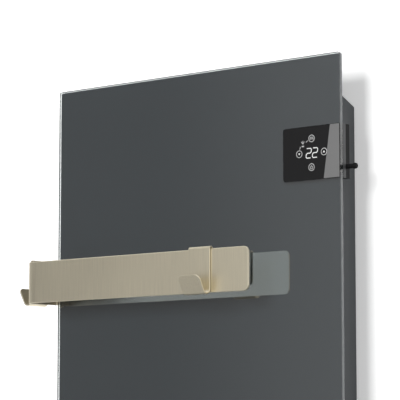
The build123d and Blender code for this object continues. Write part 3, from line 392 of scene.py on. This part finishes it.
def addPiece(name, mesh, finish, body="heater", smooth=True):
    piece = bpy.data.objects.new(name, mesh)
    scene.collection.objects.link(piece)
    mesh.materials.clear()
    mesh.materials.append(finishes[finish])
    if smooth:
        mesh.polygons.foreach_set("use_smooth", [True] * len(mesh.polygons))
        mesh.set_sharp_from_angle(angle=math.radians(sharpDegrees))
    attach(piece, body)
    return piece


def roundedOutline(centreX, centreZ, width, height, radius, steps=8):
    # points of a rounded rectangle in the plane of the glass, in millimetres
    points = []
    for signX, signZ, start in ((1, 1, 0), (-1, 1, 90), (-1, -1, 180), (1, -1, 270)):
        middleX = centreX + signX * (width / 2 - radius)
        middleZ = centreZ + signZ * (height / 2 - radius)
        for step in range(steps + 1):
            angle = math.radians(start + 90 * step / steps)
            points.append((middleX + radius * math.cos(angle), middleZ + radius * math.sin(angle)))
    return points


def plateMesh(name, outline, frontY, rearY, hole=None):
    # a flat plate between two depths, with an optional hole
    mesh = bpy.data.meshes.new(name)
    shape = bmesh.new()
    edges = []
    for ring in (outline, hole or []):
        verts = [shape.verts.new((x * millimetre, rearY * millimetre, z * millimetre)) for x, z in ring]
        edges += [shape.edges.new((a, b)) for a, b in zip(verts, verts[1:] + verts[:1])]
    bmesh.ops.triangle_fill(shape, edges=edges, use_beauty=True)
    faces = list(shape.faces)
    pushed = bmesh.ops.extrude_face_region(shape, geom=faces)
    moved = [item for item in pushed["geom"] if isinstance(item, bmesh.types.BMVert)]
    bmesh.ops.translate(shape, verts=moved, vec=(0, (frontY - rearY) * millimetre, 0))
    bmesh.ops.recalc_face_normals(shape, faces=shape.faces)
    shape.to_mesh(mesh)
    shape.free()
    return mesh


strokeSteps = 3


def strokeMesh(name, paths, width, surfaceY, lift):
    # rounded strokes drawn on a surface, each path a list of points or a closed ring, flattened to a print
    data = bpy.data.curves.new(name, "CURVE")
    data.dimensions = "3D"
    data.bevel_depth = width / 2 * millimetre
    data.bevel_resolution = strokeSteps
    data.use_fill_caps = True
    for points, closed in paths:
        spline = data.splines.new("POLY")
        spline.points.add(len(points) - 1)
        for point, (x, z) in zip(spline.points, points):
            point.co = (x * millimetre, 0, z * millimetre, 1)
        spline.use_cyclic_u = closed
    holder = bpy.data.objects.new(name + "Line", data)
    scene.collection.objects.link(holder)
    bpy.context.view_layer.update()
    drawn = holder.evaluated_get(bpy.context.evaluated_depsgraph_get())
    mesh = bpy.data.meshes.new_from_object(drawn)
    bpy.data.objects.remove(holder)
    flatten = lift / (width / 2)
    for vertex in mesh.vertices:
        vertex.co.y = surfaceY * millimetre + vertex.co.y * flatten
    mesh.name = name
    return mesh


def ringPath(centreX, centreZ, radius, steps=40):
    turns = [math.tau * step / steps for step in range(steps)]
    ring = [(centreX + radius * math.cos(turn), centreZ + radius * math.sin(turn)) for turn in turns]
    return ring, True


# enamel behind the glass, seen through it

enamelSkin = {
    "width": 496.6, "height": 996.6, "corner": 3.2, "frontY": -64.05, "rearY": -63.6,
    "windowMiddle": (204.25, 370.4), "windowWidth": 28.0, "windowHeight": 20.0, "windowCorner": 1.0,
    "windowSteps": 3,
}
enamelOutline = roundedOutline(0, 0, enamelSkin["width"], enamelSkin["height"], enamelSkin["corner"])
enamelWindow = roundedOutline(
    *enamelSkin["windowMiddle"],
    enamelSkin["windowWidth"],
    enamelSkin["windowHeight"],
    enamelSkin["windowCorner"],
    enamelSkin["windowSteps"],
)
enamel = addPiece(
    "enamelCoat",
    plateMesh("enamelCoat", enamelOutline, enamelSkin["frontY"], enamelSkin["rearY"], enamelWindow),
    "anthracite_enamel",
    smooth=False,
)
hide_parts("rear_enamel")
print("enamel laid")


# lit signs on the controller's fascia

makeFinish("litSign", {
    "colour": (0.62, 0.62, 0.62), "glow": 0.24, "roughness": 0.5, "grainScale": 1500.0,
    "grainSwing": 0.1, "bump": 0.0, "specular": 0.2,
})
makeFinish("dimSign", {
    "colour": (0.42, 0.42, 0.42), "glow": 0.30, "roughness": 0.5, "grainScale": 1500.0,
    "grainSwing": 0.1, "bump": 0.0, "specular": 0.2,
})
# the paler grey gloss below is a painted reflection, standing in for glare on the black fascia
makeFinish("paintedGlare", {
    "colour": (0.165, 0.165, 0.165), "roughness": 0.10, "roughSwing": 0.05, "grainScale": 700.0,
    "grainSwing": 0.06, "cloudScale": 30.0, "cloudSwing": 0.08, "bump": 0.01, "specular": 0.3,
})

signs = {
    "surfaceY": -71.5,
    "digitHeight": 12.6,
    "digitWidth": 7.6,
    "digitSlant": 1.6,
    "digitStroke": 1.4,
    "digitCentres": (200.5, 210.7),
    "digitMiddle": 370.3,
    "ringRadius": 4.5,
    "ringStroke": 0.8,
    "symbolStroke": 0.75,
    "digitLift": 0.12,
    "printLift": 0.10,
    "topRing": (205.2, 389.4),
    "leftRing": (185.1, 370.3),
    "rightRing": (225.1, 370.4),
    "lowRing": (204.9, 351.6),
}
surfaceY = signs["surfaceY"]


digitCorner = 0.2


def digitTwo(centreX, centreZ, width, height, slant):
    # the digit 2 with cut corners, leaning to the right
    half, tall, corner = width / 2, height / 2, width * digitCorner
    flat = [
        (-half, tall), (half - corner, tall), (half, tall - corner), (half, corner), (half - corner, 0),
        (-half + corner, 0), (-half, -corner), (-half, -tall + corner), (-half + corner, -tall),
        (half, -tall),
    ]
    return [(centreX + x + slant * z / height, centreZ + z) for x, z in flat], False


digitPaths = [
    digitTwo(x, signs["digitMiddle"], signs["digitWidth"], signs["digitHeight"], signs["digitSlant"])
    for x in signs["digitCentres"]
]
digits = strokeMesh("litDigits", digitPaths, signs["digitStroke"], surfaceY, signs["digitLift"])
addPiece("litDigits", digits, "litSign")

rings = [signs[place] for place in ("topRing", "leftRing", "rightRing", "lowRing")]
ringPaths = [ringPath(x, z, signs["ringRadius"]) for x, z in rings]
ringPrint = strokeMesh("touchRings", ringPaths, signs["ringStroke"], surfaceY, signs["printLift"])
addPiece("touchRings", ringPrint, "dimSign")

# small signs in and between the rings, as strokes about a ring's middle or on the fascia itself
symbols = (
    (signs["topRing"], [(-2.4, -1.6), (-2.2, 1.0), (-1.1, 2.0), (0, 1.2)]),
    (signs["topRing"], [(0, 1.2), (1.1, 2.0), (2.2, 1.0), (2.4, -1.6)]),
    (signs["topRing"], [(-1.6, -0.6), (1.6, -0.6)]),
    (signs["lowRing"], [(-1.5, 1.2), (-2.2, -0.4), (-1.2, -2.0), (1.2, -2.0), (2.2, -0.4), (1.5, 1.2)]),
    (signs["lowRing"], [(0, 2.6), (0, 0.1)]),
    (signs["topRing"], [(-5.9, -2.2), (-9.0, -4.2)]),
    (signs["leftRing"], [(0.9, 6.0), (2.2, 9.6)]),
    ((0, 0), [(188.6, 386.4), (191.1, 382.9), (193.6, 386.4)]),
    ((0, 0), [(191.1, 387.4), (191.1, 383.6)]),
    ((0, 0), [(189.3, 380.4), (192.9, 380.4)]),
    ((0, 0), [(189.4, 379.6), (192.8, 379.6)]),
)


def moveTo(centre, points):
    return [(centre[0] + x, centre[1] + z) for x, z in points]


symbolPaths = [(moveTo(centre, points), False) for centre, points in symbols]
symbolPrint = strokeMesh("touchSymbols", symbolPaths, signs["symbolStroke"], surfaceY, signs["printLift"])
addPiece("touchSymbols", symbolPrint, "dimSign")

arrows = {
    "arrowDown": (signs["leftRing"], [(-1.7, 1.1), (0, -1.6), (1.7, 1.1)]),
    "arrowUp": (signs["rightRing"], [(-1.7, -1.1), (1.7, -1.1), (0, 1.6)]),
}
for name, (centre, points) in arrows.items():
    arrow = plateMesh(name, moveTo(centre, points), surfaceY - signs["printLift"], surfaceY)
    addPiece(name, arrow, "litSign", smooth=False)

# a painted glare: a paler gloss field on the fascia's right-hand side, with its slanting edge, stands in
# for a reflection
fasciaGlare = {
    "topLeft": (234.9, 405.3), "lowLeft": (224.5, 335.5), "right": 249.6, "top": 405.3, "bottom": 335.5,
    "lift": 0.06,
}
glareOutline = [
    fasciaGlare["lowLeft"], (fasciaGlare["right"], fasciaGlare["bottom"]),
    (fasciaGlare["right"], fasciaGlare["top"]), fasciaGlare["topLeft"],
]
glarePatch = plateMesh("fasciaGlare", glareOutline, surfaceY - fasciaGlare["lift"], surfaceY)
addPiece("fasciaGlare", glarePatch, "paintedGlare", smooth=False)
print("fascia drawn")


# the button's spring, copied into a piece with a mesh of its own; the real spring shortens as the button
# goes in
spring = {"node": "button_spring", "joint": "button_press", "travel": 0.002, "axis": (1, 0, 0)}
springMesh = cadNodes[spring["node"]].data.copy()
springMesh.transform(cadNodes[spring["node"]].matrix_world)
springSlot = nodeSlots[spring["node"]]
springCoil = addPiece("springCoil", springMesh, springSlot)
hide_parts(spring["node"])
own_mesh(springCoil)
print("spring fitted")


# pressed and moulded detail on the casing

beadShape = {"levels": 4, "flare": 0.92, "startDegrees": (-90, 90)}


def domeBar(name, start, end, width, height, backY, steps=10):
    # a long raised bead with rounded ends, on a plane at the casing's back
    mesh = bpy.data.meshes.new(name)
    shape = bmesh.new()
    begin, finish = Vector((start[0], start[1])), Vector((end[0], end[1]))
    along = (finish - begin).normalized()
    side = Vector((-along.y, along.x))
    rows = []
    levels = beadShape["levels"]
    for level in range(levels + 1):
        slope = level / levels * math.pi / 2
        reach = width / 2 * math.cos(slope * beadShape["flare"])
        rise = height * math.sin(slope)
        ring = []
        for centre, first in zip((finish, begin), beadShape["startDegrees"]):
            for step in range(steps + 1):
                angle = math.radians(first + 180 * step / steps)
                spot = centre + along * (reach * math.cos(angle)) + side * (reach * math.sin(angle))
                x, y, z = spot.x * millimetre, (backY + rise) * millimetre, spot.y * millimetre
                ring.append(shape.verts.new((x, y, z)))
        rows.append(ring)
    for lower, upper in zip(rows, rows[1:]):
        for index in range(len(lower)):
            following = (index + 1) % len(lower)
            shape.faces.new((lower[index], lower[following], upper[following], upper[index]))
    shape.faces.new(rows[-1])
    shape.faces.new(list(reversed(rows[0])))
    bmesh.ops.recalc_face_normals(shape, faces=shape.faces)
    shape.to_mesh(mesh)
    shape.free()
    return mesh


casingBeads = {"x": 196.0, "low": -380.0, "high": 340.0, "width": 12.0, "height": 1.2, "backY": -8.05}
for side, name in ((-1, "casingBeadLeft"), (1, "casingBeadRight")):
    bead = domeBar(
        name,
        (side * casingBeads["x"], casingBeads["low"]),
        (side * casingBeads["x"], casingBeads["high"]),
        casingBeads["width"],
        casingBeads["height"],
        casingBeads["backY"],
    )
    addPiece(name, bead, "dark_paint")

coverRidges = {
    "count": 5, "pitch": 16.0, "halfLength": 55.0, "middleZ": -345.0, "width": 5.0, "height": 1.1,
    "backY": -6.85,
}
for number in range(coverRidges["count"]):
    name = f"coverRidge{number + 1}"
    ridgeZ = coverRidges["middleZ"] + (number - (coverRidges["count"] - 1) / 2) * coverRidges["pitch"]
    ridge = domeBar(
        name,
        (-coverRidges["halfLength"], ridgeZ),
        (coverRidges["halfLength"], ridgeZ),
        coverRidges["width"],
        coverRidges["height"],
        coverRidges["backY"],
    )
    addPiece(name, ridge, "dark_paint")
print("casing detailed")


# room: wall, floor and lights

def stageMaterial(name, colour, glow):
    # pale and plain, shadowed by the object, and open when seen from behind
    material = bpy.data.materials.new(name)
    material.use_nodes = True
    tree = material.node_tree
    tree.nodes.clear()
    output = tree.nodes.new("ShaderNodeOutputMaterial")
    diffuse = tree.nodes.new("ShaderNodeBsdfDiffuse")
    emission = tree.nodes.new("ShaderNodeEmission")
    both = tree.nodes.new("ShaderNodeAddShader")
    seeThrough = tree.nodes.new("ShaderNodeBsdfTransparent")
    facing = tree.nodes.new("ShaderNodeNewGeometry")
    mix = tree.nodes.new("ShaderNodeMixShader")
    diffuse.inputs["Color"].default_value = (*colour, 1)
    emission.inputs["Color"].default_value = (1, 1, 1, 1)
    emission.inputs["Strength"].default_value = glow
    tree.links.new(diffuse.outputs[0], both.inputs[0])
    tree.links.new(emission.outputs[0], both.inputs[1])
    tree.links.new(facing.outputs["Backfacing"], mix.inputs["Fac"])
    tree.links.new(both.outputs[0], mix.inputs[1])
    tree.links.new(seeThrough.outputs[0], mix.inputs[2])
    tree.links.new(mix.outputs[0], output.inputs["Surface"])
    return material


def stagePlane(name, corners, material):
    mesh = bpy.data.meshes.new(name)
    mesh.from_pydata(corners, [], [tuple(range(len(corners)))])
    mesh.materials.append(material)
    plane = bpy.data.objects.new(name, mesh)
    scene.collection.objects.link(plane)
    return plane


def uprightCorners(low, high, y):
    return [(low[0], y, low[1]), (high[0], y, low[1]), (high[0], y, high[1]), (low[0], y, high[1])]


def levelCorners(low, high, z):
    return [(low[0], low[1], z), (high[0], low[1], z), (high[0], high[1], z), (low[0], high[1], z)]


room = {
    "wallHalf": 3.0, "wallTop": 2.4, "wallY": 0.0005, "floorZ": -0.75, "floorHalf": 9.0,
    "colour": (0.92, 0.92, 0.92), "glow": 0.36,
}
wallPaint = stageMaterial("paleWall", room["colour"], room["glow"])
wallLow, wallHigh = (-room["wallHalf"], room["floorZ"]), (room["wallHalf"], room["wallTop"])
wall = stagePlane("wall", uprightCorners(wallLow, wallHigh, room["wallY"]), wallPaint)
floorLow, floorHigh = (-room["floorHalf"],) * 2, (room["floorHalf"],) * 2
floor = stagePlane("floor", levelCorners(floorLow, floorHigh, room["floorZ"]), wallPaint)
for plane in (wall, floor):
    plane.visible_diffuse = False
    plane.visible_shadow = False


def addCard(name, corners, setup):
    # a card that only mirrors see, of one strength or with a soft step in strength along X
    material = bpy.data.materials.new(name)
    material.use_nodes = True
    tree = material.node_tree
    tree.nodes.clear()
    output = tree.nodes.new("ShaderNodeOutputMaterial")
    emission = tree.nodes.new("ShaderNodeEmission")
    emission.inputs["Strength"].default_value = setup["light"]
    if "fade" in setup:
        place = tree.nodes.new("ShaderNodeTexCoord")
        split = tree.nodes.new("ShaderNodeSeparateXYZ")
        ramp = tree.nodes.new("ShaderNodeMapRange")
        ramp.interpolation_type = "SMOOTHSTEP"
        ramp.inputs["From Min"].default_value, ramp.inputs["From Max"].default_value = setup["fade"]
        ramp.inputs["To Min"].default_value = setup["dark"]
        ramp.inputs["To Max"].default_value = setup["light"]
        tree.links.new(place.outputs["Object"], split.inputs[0])
        tree.links.new(split.outputs["X"], ramp.inputs["Value"])
        tree.links.new(ramp.outputs["Result"], emission.inputs["Strength"])
    tree.links.new(emission.outputs[0], output.inputs["Surface"])
    card = stagePlane(name, corners, material)
    card.visible_camera = False
    card.visible_diffuse = False
    card.visible_shadow = False
    card.visible_transmission = False


# two cards in front of the heater, a dark one along the floor, and a small dark one beside the left hook,
# which is painted shade: it stands in for the shaded wall there as mirrors see it
uprightCards = {
    "reflectionCard": {
        "y": -2.6, "low": (-9.0, -0.75), "high": (-1.5, 4.5),
        "fade": (-2.30, -1.50), "dark": 0.215, "light": 0.37,
    },
    "brightCard": {
        "y": -2.6, "low": (-1.5, -0.75), "high": (9.0, 4.5),
        "fade": (-1.5, -1.4), "dark": 0.37, "light": 1.0,
    },
    # painted shade for the wall beside the casing, seen only in mirrors
    "wallShadeCard": {"y": -0.002, "low": (-0.6, 0.15), "high": (-0.2, 0.6), "light": 0.12},
}
levelCards = {"floorFlag": {"z": -0.74, "low": (-9.0, -2.6), "high": (9.0, -0.1), "light": 0.40}}
for name, setup in uprightCards.items():
    addCard(name, uprightCorners(setup["low"], setup["high"], setup["y"]), setup)
for name, setup in levelCards.items():
    addCard(name, levelCorners(setup["low"], setup["high"], setup["z"]), setup)


def addWorld(diffuseStrength):
    # white where it is seen or mirrored, and dimmer as light on the object
    world = bpy.data.worlds.new("studio")
    scene.world = world
    world.use_nodes = True
    tree = world.node_tree
    background = tree.nodes["Background"]
    path = tree.nodes.new("ShaderNodeLightPath")
    direct = mathNode(tree, "MAXIMUM", path.outputs["Is Camera Ray"], path.outputs["Is Glossy Ray"])
    seen = mathNode(tree, "MAXIMUM", direct, path.outputs["Is Transmission Ray"])
    strength = tree.nodes.new("ShaderNodeMapRange")
    strength.inputs["To Min"].default_value = diffuseStrength
    strength.inputs["To Max"].default_value = 1.0
    tree.links.new(seen, strength.inputs["Value"])
    tree.links.new(strength.outputs["Result"], background.inputs["Strength"])
    background.inputs["Color"].default_value = (1, 1, 1, 1)


addWorld(diffuseStrength=0.30)


def addLamp(name, setup):
    # an area lamp, which mirrors see only if it lights chosen nodes alone
    data = bpy.data.lights.new(name, "AREA")
    data.shape = "RECTANGLE"
    data.size, data.size_y = setup["size"]
    data.energy = setup["power"]
    data.color = setup.get("colour", (1, 1, 1))
    lamp = bpy.data.objects.new(name, data)
    lamp.location = setup["place"]
    aim = Vector(setup["aim"]) - Vector(setup["place"])
    lamp.rotation_euler = aim.to_track_quat("-Z", "Y").to_euler()
    lamp.visible_glossy = "only" in setup
    lamp.visible_camera = False
    scene.collection.objects.link(lamp)
    if "only" in setup:
        chosen = bpy.data.collections.new(name + "Receivers")
        for nodeName in setup["only"]:
            chosen.objects.link(cadNodes[nodeName])
        lamp.light_linking.receiver_collection = chosen
        lamp.light_linking.blocker_collection = chosen


lamps = {
    "keyLamp": {"place": (0.12, -2.9, 1.1), "aim": (0, 0, 0.1), "size": (1.15, 1.15), "power": 80.0},
    "fillLamp": {"place": (2.4, -2.4, 0.6), "aim": (0, 0, 0), "size": (2.0, 2.0), "power": 9.0},
    "barBackLamp": {
        "place": (-1.35, 1.5, 0.35), "aim": (-0.1, -0.1, 0.22), "size": (1.3, 1.3), "power": 22.0,
        "colour": (0.69, 0.83, 1.05), "only": ("towel_bar", "right_towel_hook"),
    },
}
for name, setup in lamps.items():
    addLamp(name, setup)
print("room lit")
